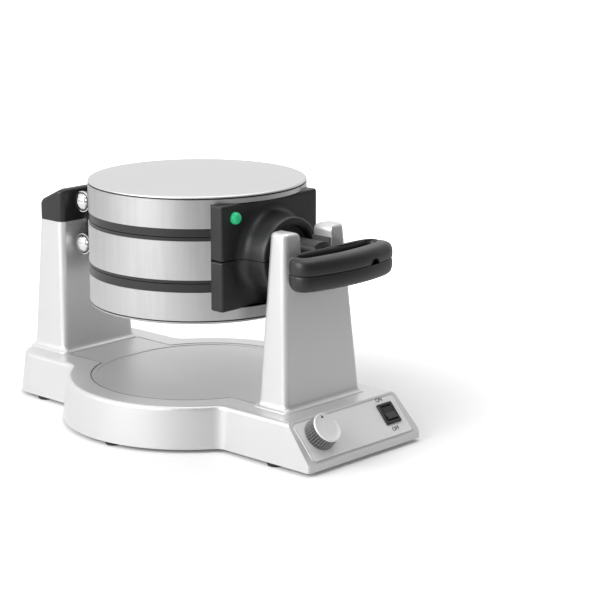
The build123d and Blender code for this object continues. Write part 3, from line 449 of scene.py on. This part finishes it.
def dial_ring(r, out, fluted=0.0):
    """A ring about the dial's axis at a height over its foot; fluted 1 gives it the full knurling."""
    points = []
    for a in round_angles(FLUTES * PER_FLUTE):
        wave = abs(sin(a * FLUTES / 2)) ** 0.7
        rr = r - fluted * FLUTE_DEEP * (1 - wave)
        points.append(on_slope(DIAL_S + rr * cos(a), DIAL_Y + rr * sin(a), PLATE_OUT + DIAL_GAP + out))
    return points


skirt = loft([dial_ring(15.2, 0), dial_ring(15.2, 0.6), dial_ring(15.0, 0.9, 1.0),
              dial_ring(DIAL_R, DIAL_UP - 1.7, 1.0), dial_ring(DIAL_R, RIM_UP)])
piece_of(skirt, "dial_skirt", "dial", "dial_silver", DIAL_SIDE, "browning_dial", sharp=28)
face_rings = [dial_ring(DIAL_R, RIM_UP), dial_ring(DIAL_R, DIAL_UP - 0.7), dial_ring(14.0, DIAL_UP - 0.2),
              dial_ring(13.5, DIAL_UP), dial_ring(13.0, DIAL_UP)]
face_rings += [dial_ring(r, FACE_UP) for r in (12.6, 8.0, 2.0)]
piece_of(loft(face_rings), "dial_face", "dial", "dial_silver", DIAL)

POINTER_TIP, POINTER_TAIL, POINTER_HALF = 12.6, 9.6, 1.5
pointer_rings = []
for lift in (DIAL_UP - 0.2, DIAL_UP - 0.1):
    out = PLATE_OUT + DIAL_GAP + lift
    pointer_rings.append([on_slope(DIAL_S - POINTER_TIP, DIAL_Y, out),
                          on_slope(DIAL_S - POINTER_TAIL, DIAL_Y - POINTER_HALF, out),
                          on_slope(DIAL_S - POINTER_TAIL, DIAL_Y + POINTER_HALF, out)])
piece_of(loft(pointer_rings), "dial_pointer", "dial", "switch_black", PRINT)

# Rocker switch. A smooth black frame with a softly rounded rim, moulded to hold the rocker. The case of
# the dial's thermostat, behind the panel, is the same plastic.
SWITCH = surface("switch_black", GRAIN, {"Grain Size": 1.2, "Cloud": 0.3},
                 (0.012, 0.012, 0.013), (0.022, 0.022, 0.024), (0.22, 0.32), bump=0.05)
dress(SWITCH, "rocker_paddle", "dial_thermostat")
ROCKER_S, ROCKER_Y = 19.7, 48.7
FRAME_HALF_S, FRAME_HALF_Y = 10.6, 9.85
FRAME_PROFILE = ((0.0, 0.0, 1.2), (0.0, 1.2, 1.2), (-0.25, 1.65, 1.0), (-0.7, 1.8, 0.8),
                 (-2.3, 1.8, 0.6), (-2.75, 1.6, 0.5), (-3.0, 1.1, 0.5), (-3.0, -4.5, 0.5))
frame_rings = []
for grow, out, r in FRAME_PROFILE:
    frame_rings.append(slope_ring(FRAME_HALF_S + grow, FRAME_HALF_Y + grow, r, ROCKER_S, ROCKER_Y,
                                  PLATE_OUT + out))
piece_of(loft(frame_rings), "switch_frame", "base", "switch_black", SWITCH, "rocker_switch")

# Control board. A green circuit board with its larger parts, on short studs inside the front block and
# out of sight.
BOARD = surface("board_green", GRAIN, {"Grain Size": 2.0, "Cloud": 0.4},
                (0.02, 0.10, 0.04), (0.03, 0.16, 0.07), (0.3, 0.5))
dress(BOARD, "control_board")

# Cooking plates. Cast aluminium with a grid of cells and a dark, faintly glossy non-stick coating. Two
# lie in the middle section and one in each lid.
COATING = surface("nonstick", GRAIN, {"Grain Size": 0.6, "Cloud": 0.3},
                  (0.016, 0.016, 0.017), (0.03, 0.03, 0.032), (0.28, 0.4), bump=0.1)
dress(COATING, "middle_upper_plate", "middle_lower_plate", "upper_lid_plate", "lower_lid_plate")

# Bands and covers. Brushed stainless sheet: the bands' colour runs in soft upright streaks, painted
# reflections, the covers a fine straight grain. Each cover is pressed with a rounded shoulder and
# sits on a thin black ring, painted shade of the seam groove.
# Painted reflections: soft upright streaks in the bands' colour.
BAND_STEEL = surface("band_steel_painted_streaks", BRUSHED, {"Stretch": (130.0, 130.0, 9.0), "Cloud": 0.3},
                     (0.57, 0.57, 0.57), (0.65, 0.65, 0.65), (0.30, 0.40), metallic=1.0, bump=0.02)
COVER_STEEL = surface("cover_steel", BRUSHED, {"Stretch": (20.0, 1800.0, 20.0), "Cloud": 0.35},
                      (0.60, 0.60, 0.60), (0.68, 0.68, 0.68), (0.40, 0.50), metallic=0.9, bump=0.03)
dress(BAND_STEEL, "middle_band", "upper_lid_band", "lower_lid_band")
CASING_R, SEAM_UP = 102.5, 55.4
# Painted shade: a thin black ring under each cover's lip stands for the shaded groove of the seam.
SEAM_SHADE = surface("seam_painted_shade", GRAIN, {"Grain Size": 2.0, "Cloud": 0.5},
               (0.01, 0.01, 0.01), (0.02, 0.02, 0.02), (0.5, 0.6), bump=0.0)


def turned(profile, side, steps=192):
    """A ring turned about the casing's axis: radius and height over the flip axis, up or down."""
    rings = []
    for r, up in profile:
        rings.append([at(r * cos(a), r * sin(a), FLIP_Z + side * up) for a in round_angles(steps)])
    return rings


LIDS = (("upper", "upper_lid", 1), ("lower", "rotor", -1))   # name, body, and up or down
SHADE_RING_UP, CROWN, CROWN_UP = 1.3, 2.4, 3.2
SHOULDER, SHOULDER_UP = 2.8, 2.05
dome = [(1.0, SEAM_UP + 5.6)]
dome += [(r, SEAM_UP + CROWN_UP + CROWN * (1 - (r / CASING_R) ** 2))
         for r in (15, 30, 45, 60, 75, 88, 95, 98.5)]
shoulder = []
for angle in range(0, 91, 10):
    a = radians(angle)
    shoulder.append((CASING_R - SHOULDER + SHOULDER * sin(a), SEAM_UP + SHADE_RING_UP + SHOULDER_UP * cos(a)))
cover_profile = dome + shoulder + [(CASING_R - 2.0, SEAM_UP + SHADE_RING_UP)]
seam_shade_profile = [(CASING_R - 3.0, SEAM_UP), (CASING_R - 1.4, SEAM_UP), (CASING_R - 1.4, SEAM_UP + SHADE_RING_UP),
                (CASING_R - 3.0, SEAM_UP + SHADE_RING_UP)]
for lid, body, side in LIDS:
    cover = loft(turned(cover_profile, side))
    piece_of(cover, lid + "_cover_sheet", body, "steel_brushed", COVER_STEEL, lid + "_lid_cover", sharp=50)
    # The black ring of painted seam shade under the cover's lip.
    seam_shade_ring = loft(turned(seam_shade_profile, side))
    piece_of(seam_shade_ring, lid + "_seam_shade_ring", body, "rubber_black", SEAM_SHADE)

# Front housings. Two black moulded shells split at the flip axis and hollowed to the casing's round. Each
# has half of a boss that runs up from the face in a curve and ends in a raised ring at the tower.
HOUSE_BACK, HOUSE_FACE, HOUSE_HALF, HOUSE_ROUND = 76.0, 95.1, 62.5, 2.2
HOUSE_UP = {"upper": 51.1, "lower": 46.2}
SPLIT = 0.3                           # half the parting gap at the flip axis
ROOM_R, ROOM_UP = 102.1, 24.0
BOSS_PROFILE = [(47.0, HOUSE_FACE - 1.0), (47.0, HOUSE_FACE - 0.05), (45.0, 95.3), (42.8, 95.8), (40.6, 96.9),
                (38.9, 98.8), (37.7, 101.5), (37.1, 105.0), (36.7, 110.0), (36.3, 116.0), (36.2, 120.4),
                (35.9, 121.2), (35.2, 121.8), (34.4, 122.0), (30.2, 122.0), (29.3, 121.7), (28.7, 121.0),
                (28.5, 120.2), (28.3, 116.4), (27.6, 116.0), (19.4, 116.0), (19.0, 115.6), (19.0, 94.0)]


def half_turned(profile, side, steps=48):
    """Half a ring about the flip axis, above or below it, closed at the split."""
    rings = []
    for i in range(steps + 1):
        a = radians(180.0 * i / steps)
        rings.append([at(x, r * cos(a), FLIP_Z + side * (SPLIT + max(r * sin(a) - SPLIT * sin(a), 0.0)))
                      for r, x in profile])
    return rings


def housing_block(height, side):
    """One shell's block, from its back to its rounded face."""
    outline = [(HOUSE_BACK, 0.0), (HOUSE_FACE - HOUSE_ROUND, 0.0)]
    for angle in range(15, 91, 15):
        a = radians(angle)
        outline.append((HOUSE_FACE - HOUSE_ROUND + HOUSE_ROUND * sin(a), HOUSE_ROUND * (1 - cos(a))))
    rings = []
    for x, inset in outline:
        ring = corner_ring(-HOUSE_HALF + inset, HOUSE_HALF - inset, SPLIT + inset * 0.3, height - inset,
                           HOUSE_ROUND)
        rings.append([at(x, y, FLIP_Z + side * up) for y, up in ring])
    return loft(rings)


for lid, body, side in LIDS:
    block = piece_of(housing_block(HOUSE_UP[lid], side), lid + "_housing_shell", body, "black_plastic",
                     BLACK_PLASTIC, lid + "_housing")
    cut_out(block, loft(turned([(ROOM_R, -2.0), (ROOM_R, ROOM_UP)], side, 128)))
    boss = loft(half_turned(BOSS_PROFILE, side))
    piece_of(boss, lid + "_boss", body, "black_plastic", BLACK_PLASTIC, sharp=40)

# Ready light. A small domed lens of green plastic in the upper housing, glowing faintly from the lamp
# behind it.
LENS = surface("lens_green", GRAIN, {"Grain Size": 2.0, "Cloud": 0.8},
               (0.02, 0.36, 0.15), (0.03, 0.44, 0.20), (0.2, 0.3), bump=0.0)
lens_shader = LENS.node_tree.nodes["Principled BSDF"]
lens_shader.inputs["Emission Color"].default_value = (0.02, 0.75, 0.32, 1.0)
lens_shader.inputs["Emission Strength"].default_value = 0.22
LENS_Y, LENS_UP, LENS_R, LENS_STEPS = -46.0, 38.5, 5.6, 48
LENS_PROFILE = ((-1.0, 1.0), (1.4, 1.0), (2.8, 0.94), (3.9, 0.82), (4.8, 0.6), (5.3, 0.3), (5.4, 0.05))
lens_rings = []
for out, share in LENS_PROFILE:
    lens_rings.append([at(HOUSE_FACE + out, LENS_Y + LENS_R * share * cos(a),
                          FLIP_Z + LENS_UP + LENS_R * share * sin(a)) for a in round_angles(LENS_STEPS)])
piece_of(loft(lens_rings), "lens_dome", "upper_lid", "lens_green", LENS, "ready_lens", sharp=60)

# Handles. Each lid has half of the loop and half of the neck that lies in the fork, both black mouldings
# that meet their other half at the flip axis with a fine parting line. A shallow step runs round the
# finger slot, and the upper half has a thumb notch in its front edge.
HANDLE_H, MID_Y = 14.6, 3.0           # height of half a loop, and how far its middle is off the flip axis


def along(path, count):
    """Points evenly spaced round a closed path."""
    lengths = [0.0]
    loop = path + path[:1]
    for a, b in zip(loop, loop[1:]):
        lengths.append(lengths[-1] + hypot(b[0] - a[0], b[1] - a[1]))
    points, k = [], 0
    for i in range(count):
        goal = lengths[-1] * i / count
        while lengths[k + 1] < goal:
            k += 1
        t = (goal - lengths[k]) / (lengths[k + 1] - lengths[k])
        a, b = loop[k], loop[k + 1]
        points.append((a[0] + (b[0] - a[0]) * t, a[1] + (b[1] - a[1]) * t))
    return points


LOOP_FRONT, LOOP_HALF, LOOP_BOW = 200.5, 61.0, 10.0
BOW_HALF, BOW_STEPS, CORNER_X = 50.5, 40, 181.0
FRONT_ROUND, REAR_ROUND = 12.0, 20.0


def handle_outer():
    """The loop's outline from above: bowed front, rounded front corners, wide round rear ones."""
    points = []
    for i in range(BOW_STEPS + 1):
        y = -BOW_HALF + 2 * BOW_HALF * i / BOW_STEPS
        points.append((LOOP_FRONT - LOOP_BOW * (y / LOOP_HALF) ** 2, y + MID_Y))
    ends = []
    for r, angles in ((FRONT_ROUND, range(10, 91, 10)), (REAR_ROUND, range(90, 181, 9))):
        for angle in angles:
            a = radians(angle)
            ends.append((CORNER_X + r * cos(a), LOOP_HALF - r + r * sin(a) + MID_Y))
    return points + ends + [(x, 2 * MID_Y - y) for x, y in ends[::-1]]


SLOT_FRONT, SLOT_REAR, SLOT_BOW, SLOT_STEPS = 183.0, 168.0, 4.6, 24
SLOT_HALF, SLOT_WIDE, SLOT_BACK_HALF = 44.0, 48.0, 43.0
SLOT_END_X, SLOT_END_Y, SLOT_ROUND = 173.2, 44.5, 5.2


def handle_slot():
    """The finger slot's outline from above: bowed front, round ends, straight back."""
    points = []
    for i in range(SLOT_STEPS + 1):
        y = -SLOT_HALF + 2 * SLOT_HALF * i / SLOT_STEPS
        points.append((SLOT_FRONT - SLOT_BOW * (y / SLOT_WIDE) ** 2, y + MID_Y))
    end = []
    for angle in range(15, 180, 15):
        a = radians(angle)
        end.append((SLOT_END_X + SLOT_ROUND * cos(a), SLOT_END_Y + SLOT_ROUND * sin(a) + MID_Y))
    back = [(SLOT_REAR, SLOT_BACK_HALF + MID_Y), (SLOT_REAR, -SLOT_BACK_HALF + MID_Y)]
    return points + end + back + [(x, 2 * MID_Y - y) for x, y in end[::-1]]


LOOP_STEPS = 220
outer_path, inner_path = along(handle_outer(), LOOP_STEPS), along(handle_slot(), LOOP_STEPS)
FROM_SLOT = [(0.0, 0.0), (0.0, HANDLE_H - 4.5), (0.4, HANDLE_H - 2.6), (1.2, HANDLE_H - 1.3),
             (2.2, HANDLE_H - 1.2), (2.9, HANDLE_H - 0.5), (3.6, HANDLE_H - 0.1), (4.4, HANDLE_H)]
FROM_EDGE = [(5.6, HANDLE_H - 0.25), (4.2, HANDLE_H - 0.8), (2.6, HANDLE_H - 1.9), (1.2, HANDLE_H - 3.6),
             (0.35, HANDLE_H - 6.0), (0.0, HANDLE_H - 8.4), (0.0, 1.6), (0.35, 0.6), (0.9, 0.0)]


def handle_loop(side):
    """Half of the loop: one section from the slot over the top to the outer edge, led all round."""
    rings = []
    for (ox, oy), (ix, iy) in zip(outer_path, inner_path):
        width = hypot(ox - ix, oy - iy)
        ux, uy = (ox - ix) / width, (oy - iy) / width
        section = FROM_SLOT + [(width - d, up) for d, up in FROM_EDGE]
        rings.append([at(ix + ux * d, iy + uy * d, FLIP_Z + side * (SPLIT + up)) for d, up in section])
    rings.append(rings[0])
    mesh = loft(rings, capped=False)
    bmesh.ops.remove_doubles(mesh, verts=mesh.verts, dist=0.00001)
    return mesh


NECK_PROFILE = ((10.5, 94.5), (18.5, 94.5), (18.5, 158.5), (19.2, 160.5), (20.8, 163.0), (22.0, 165.5),
                (10.5, 165.5))
NECK_STEPS, NECK_FLAT, FLAT_FROM = 48, HANDLE_H - 1.6, 160.0


def handle_neck(side):
    """Half of the neck; where it widens into the loop it stays under the loop's top."""
    rings = []
    for i in range(NECK_STEPS + 1):
        a = radians(180.0 * i / NECK_STEPS)
        ring = []
        for r, x in NECK_PROFILE:
            up = min(r * sin(a), NECK_FLAT if x > FLAT_FROM else r)
            ring.append(at(x, r * cos(a), FLIP_Z + side * (SPLIT + up)))
        rings.append(ring)
    return loft(rings)


loops = {}
for lid, body, side in LIDS:
    loops[lid] = piece_of(handle_loop(side), lid + "_handle_loop", body, "black_plastic", BLACK_PLASTIC,
                          lid + "_handle", sharp=40)
    piece_of(handle_neck(side), lid + "_neck", body, "black_plastic", BLACK_PLASTIC, sharp=40)

NOTCH_Y, NOTCH_HALF, NOTCH_UP, NOTCH_SINK = 26.5, 6.8, 6.6, 1.0
arch = [(NOTCH_Y + NOTCH_HALF * cos(radians(a)), FLIP_Z - NOTCH_SINK + NOTCH_UP * sin(radians(a)))
        for a in range(0, 181, 15)]
cut_out(loops["upper"], loft([[at(x, y, z) for y, z in arch] for x in (193.0, 204.0)]))

# Hinges. A black moulded bracket on the middle section holds two steel pins, and the arm of each lid sits
# on one of them. Each pin ends in a dark collar and a polished domed head.
dress(BLACK_PLASTIC, "hinge_bracket", "upper_hinge_arm", "lower_hinge_arm")
CHROME = surface("pin_chrome", GRAIN, {"Grain Size": 3.0, "Cloud": 0.8},
                 (0.80, 0.80, 0.81), (0.86, 0.86, 0.87), (0.06, 0.12), metallic=1.0, bump=0.0)
COLLAR = surface("pin_collar", GRAIN, {"Grain Size": 2.0, "Cloud": 0.5},
                 (0.04, 0.04, 0.04), (0.07, 0.07, 0.07), (0.4, 0.5), metallic=0.5, bump=0.0)
dress(CHROME, "upper_hinge_pin", "lower_hinge_pin")
PIN_X, PIN_UP, PIN_Y, PIN_STEPS = -135.0, 21.0, 24.1, 48
COLLAR_PROFILE = ((9.0, 0.0), (10.0, 0.1), (10.2, 0.5), (10.2, 1.1), (9.9, 1.5), (9.2, 1.65), (8.3, 1.65))
DOME_R, DOME_FOOT, DOME_RISE = 8.2, 1.6, 4.6
dome_profile = [(DOME_R, 0.6)]
dome_profile += [(DOME_R * cos(radians(a)), DOME_FOOT + DOME_RISE * sin(radians(a))) for a in range(0, 88, 8)]


def pin_end(profile, up, hand):
    """A form turned about a pin's axis: radius and distance out from the end of the pin."""
    rings = []
    for r, out in profile:
        rings.append([at(PIN_X + r * cos(a), hand * (PIN_Y + out), FLIP_Z + up + r * sin(a))
                      for a in round_angles(PIN_STEPS)])
    return loft(rings)


for lid, up in (("upper", PIN_UP), ("lower", -PIN_UP)):
    for hand, end in ((-1, "near"), (1, "far")):
        collar, head = pin_end(COLLAR_PROFILE, up, hand), pin_end(dome_profile, up, hand)
        piece_of(collar, lid + "_pin_collar_" + end, "rotor", "chrome", COLLAR)
        piece_of(head, lid + "_pin_dome_" + end, "rotor", "chrome", CHROME, sharp=60)

# Shaft, heaters and screws. The turned shaft with its retaining ring, the sheathed heaters, the pressed
# heat shields, the lid's thermostat and the screws are plain drawn steel, and most are out of sight.
PLAIN_STEEL = surface("turned_steel", BRUSHED, {"Stretch": (1500.0, 200.0, 200.0), "Cloud": 0.3},
                      (0.42, 0.42, 0.42), (0.55, 0.55, 0.55), (0.25, 0.4), metallic=1.0)
dress(PLAIN_STEEL, "cover_screws", "tower_screws", "rotor_shaft", "shaft_ring", "upper_heat_shield",
      "lower_heat_shield", "upper_thermostat", "upper_heater", "lower_heater", "middle_heater")

# Studio. A pale floor without a visible edge, a large soft lamp to the left of the machine, a smaller
# one above it, and an even pale surrounding that is a little darker to the right.
FLOOR_HALF, FLOOR_TONE = 12.0, 0.86
floor_mesh = bmesh.new()
corners = ((-1, -1), (1, -1), (1, 1), (-1, 1))
floor_mesh.faces.new([floor_mesh.verts.new((x * FLOOR_HALF, y * FLOOR_HALF, 0.0)) for x, y in corners])
data = bpy.data.meshes.new("studio_floor")
floor_mesh.to_mesh(data)
floor_mesh.free()
floor = bpy.data.objects.new("studio_floor", data)
bpy.context.scene.collection.objects.link(floor)
paper = bpy.data.materials.new("pale_floor")
paper.use_nodes = True
nodes, links = paper.node_tree.nodes, paper.node_tree.links
paper_shader = nodes["Principled BSDF"]
paper_shader.inputs["Roughness"].default_value = 0.9
paper_shader.inputs["Specular IOR Level"].default_value = 0.1
paper_shader.inputs["Emission Color"].default_value = (1.0, 1.0, 1.0, 1.0)
# Painted light: for camera rays the floor glows, weakly within 0.2 m of its centre and more strongly out to
# 0.5 m, so the far floor shows white and the floor close round the machine stays darker.
seen = nodes.new("ShaderNodeLightPath")
spot = nodes.new("ShaderNodeTexCoord")
away = nodes.new("ShaderNodeVectorMath")
away.operation = "LENGTH"
whiter = nodes.new("ShaderNodeMapRange")
whiter.inputs["From Min"].default_value = 0.20
whiter.inputs["From Max"].default_value = 0.5
whiter.inputs["To Min"].default_value = 0.12
whiter.inputs["To Max"].default_value = 0.85
lift = nodes.new("ShaderNodeMath")
lift.operation = "MULTIPLY"
links.new(spot.outputs["Object"], away.inputs[0])
links.new(away.outputs["Value"], whiter.inputs["Value"])
links.new(whiter.outputs["Result"], lift.inputs[1])
links.new(seen.outputs["Is Camera Ray"], lift.inputs[0])
links.new(lift.outputs[0], paper_shader.inputs["Emission Strength"])
# Painted shade in reflections: seen by glossy rays, the floor's colour falls from 0.86 to 0.48 between x 0.34
# and 0.75 m.
side_of = nodes.new("ShaderNodeSeparateXYZ")
darker = nodes.new("ShaderNodeMapRange")
darker.inputs["From Min"].default_value = 0.34
darker.inputs["From Max"].default_value = 0.75
darker.inputs["To Min"].default_value = FLOOR_TONE
darker.inputs["To Max"].default_value = 0.48
tint = nodes.new("ShaderNodeMix")
tint.inputs["A"].default_value = FLOOR_TONE
links.new(spot.outputs["Object"], side_of.inputs[0])
links.new(side_of.outputs["X"], darker.inputs["Value"])
links.new(seen.outputs["Is Glossy Ray"], tint.inputs["Factor"])
links.new(darker.outputs["Result"], tint.inputs["B"])
links.new(tint.outputs["Result"], paper_shader.inputs["Base Color"])
data.materials.append(paper)

world = bpy.data.worlds.new("pale_room")
bpy.context.scene.world = world
world.use_nodes = True
nodes, links = world.node_tree.nodes, world.node_tree.links
room = nodes["Background"]
direction = nodes.new("ShaderNodeTexCoord")
toward = nodes.new("ShaderNodeVectorMath")
toward.operation = "DOT_PRODUCT"
toward.inputs[1].default_value = (1.0, 0.0, 0.0)
shade = nodes.new("ShaderNodeValToRGB")
shade.color_ramp.elements[0].position = 0.0
shade.color_ramp.elements[0].color = (1.0, 1.0, 1.0, 1.0)
shade.color_ramp.elements[1].position = 1.0
shade.color_ramp.elements[1].color = (0.15, 0.15, 0.15, 1.0)
for place, level in ((0.50, 1.0), (0.70, 0.55), (0.86, 0.24)):
    shade.color_ramp.elements.new(place).color = (level, level, level, 1.0)
half = nodes.new("ShaderNodeMath")
half.operation = "MULTIPLY_ADD"
half.inputs[1].default_value = 0.5
half.inputs[2].default_value = 0.5
path = nodes.new("ShaderNodeLightPath")
light_level = nodes.new("ShaderNodeMix")
light_level.inputs["A"].default_value = 0.62
light_level.inputs["B"].default_value = 1.0
mirrored = nodes.new("ShaderNodeMath")
mirrored.operation = "MAXIMUM"
also_through = nodes.new("ShaderNodeMath")
also_through.operation = "MAXIMUM"
plain = nodes.new("ShaderNodeMix")
plain.data_type = "RGBA"
plain.inputs["B"].default_value = (1.0, 1.0, 1.0, 1.0)
links.new(direction.outputs["Generated"], toward.inputs[0])
links.new(toward.outputs["Value"], half.inputs[0])
links.new(half.outputs[0], shade.inputs["Fac"])
links.new(path.outputs["Is Camera Ray"], plain.inputs["Factor"])
links.new(shade.outputs["Color"], plain.inputs["A"])
links.new(plain.outputs["Result"], room.inputs["Color"])
links.new(path.outputs["Is Camera Ray"], mirrored.inputs[0])
links.new(path.outputs["Is Glossy Ray"], mirrored.inputs[1])
links.new(mirrored.outputs[0], also_through.inputs[0])
links.new(path.outputs["Is Transmission Ray"], also_through.inputs[1])
links.new(also_through.outputs[0], light_level.inputs["Factor"])
links.new(light_level.outputs["Result"], room.inputs["Strength"])


def soft_lamp(name, spot, target, size, power):
    """A rectangular area lamp at spot, turned to target; size in metres, power in watts."""
    lamp = bpy.data.lights.new(name, "AREA")
    lamp.shape = "RECTANGLE"
    lamp.size, lamp.size_y = size
    lamp.energy = power
    holder = bpy.data.objects.new(name, lamp)
    bpy.context.scene.collection.objects.link(holder)
    holder.location = spot
    holder.rotation_euler = (Vector(target) - Vector(spot)).to_track_quat("-Z", "Y").to_euler()


soft_lamp("left_softbox", (-0.35, -1.9, 1.1), (0.0, 0.0, 0.12), (1.8, 1.4), 34.0)
soft_lamp("top_softbox", (0.2, 0.3, 2.0), (0.0, 0.0, 0.1), (1.6, 1.6), 14.0)

FOCAL_PIXELS, FRAME_PIXELS = 2079.87, 600.0
eye = bpy.data.cameras.new("photo_camera")
eye.sensor_width = 36.0
eye.lens = FOCAL_PIXELS / FRAME_PIXELS * eye.sensor_width
camera = bpy.data.objects.new("photo_camera", eye)
bpy.context.scene.collection.objects.link(camera)
camera.location = (1.37271, -1.33704, 0.56903)
looks_at = Vector((0.04364, 0.08373, 0.10534))
camera.rotation_euler = (looks_at - camera.location).to_track_quat("-Z", "Y").to_euler()
bpy.context.scene.camera = camera
bpy.context.scene.view_settings.view_transform = "Standard"
